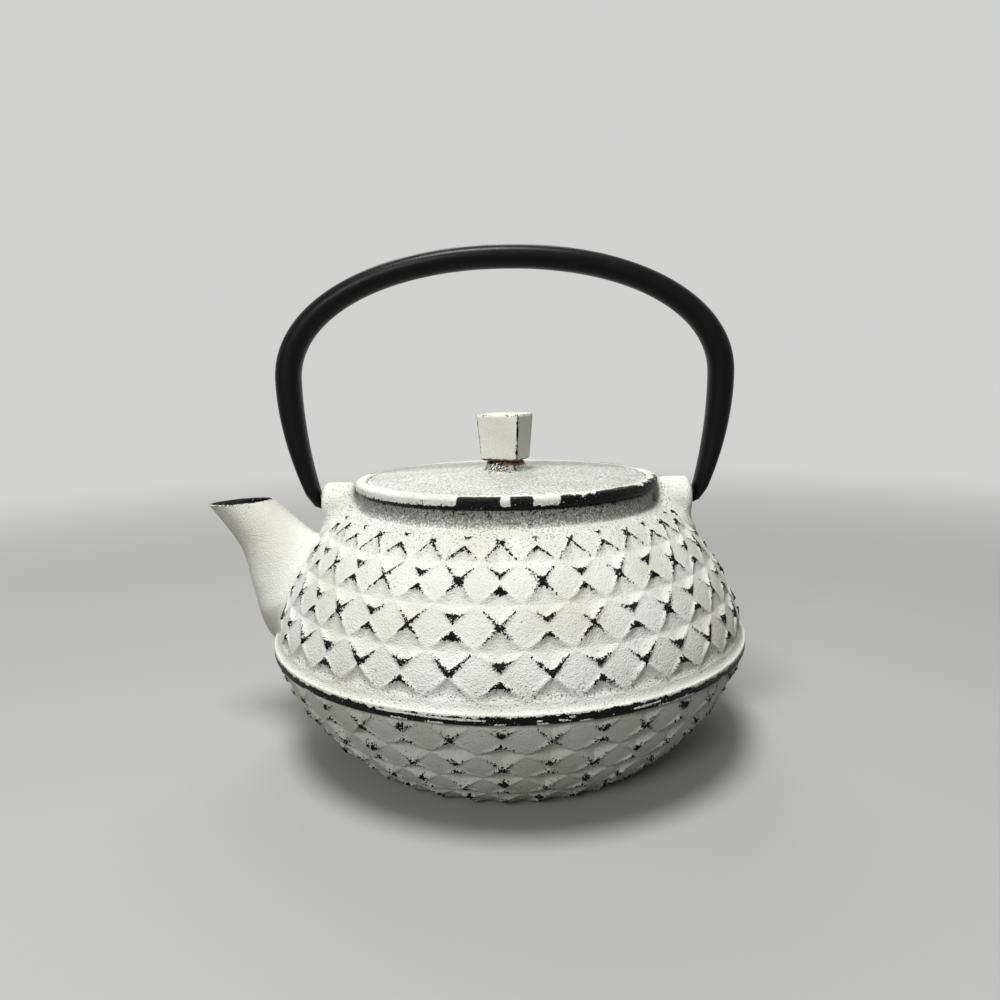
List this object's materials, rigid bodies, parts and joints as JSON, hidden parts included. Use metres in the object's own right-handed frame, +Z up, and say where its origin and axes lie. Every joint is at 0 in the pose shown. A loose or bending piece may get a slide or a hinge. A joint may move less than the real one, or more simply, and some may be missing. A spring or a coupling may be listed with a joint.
{
  "type": "enamelled cast-iron teapot",
  "caption": "Squat round iron teapot with a diamond relief, a thin waist flange, a short spout, a flat lid with a square knob, a swinging bail and a lift-out tea basket.",
  "frame": {"origin": "centre of the flat base, on the pot's vertical axis", "axes": "+Z up along the pot's axis, -X out of the spout, -Y towards the viewer of the picture"},
  "size_m": [0.1718, 0.15, 0.1575],
  "materials": {
    "white_enamel": "matt enamel over black cast iron, worn through on the relief",
    "cream_enamel": "satin enamel, chipped at the edges",
    "black_iron": "satin black",
    "stainless_steel": "brushed"
  },
  "bodies": {
    "pot": {"pot_bowl": "white_enamel", "pot_shoulder": "white_enamel", "pot_spout": "white_enamel"},
    "handle": {"bail_handle": "black_iron"},
    "basket": {"basket_rim": "stainless_steel", "basket_wall": "stainless_steel", "basket_hoop": "stainless_steel", "basket_sieve": "stainless_steel"},
    "lid": {"lid_plate": "white_enamel", "lid_skirt": "white_enamel", "lid_knob": "cream_enamel", "knob_screw": "stainless_steel", "knob_washer": "stainless_steel"}
  },
  "joints": [
    {"name": "handle_swing", "type": "hinge", "parent": "pot", "child": "handle", "pos_m": [0, 0, 0.079], "axis": [1, 0, 0], "range_deg": [-100, 100]},
    {"name": "basket_lift", "type": "slide", "parent": "pot", "child": "basket", "axis": [0, 0, 1], "range_m": [0, 0.022]},
    {"name": "lid_lift", "type": "slide", "parent": "basket", "child": "lid", "axis": [0, 0, 1], "range_m": [0, 0.02]}
  ]
}
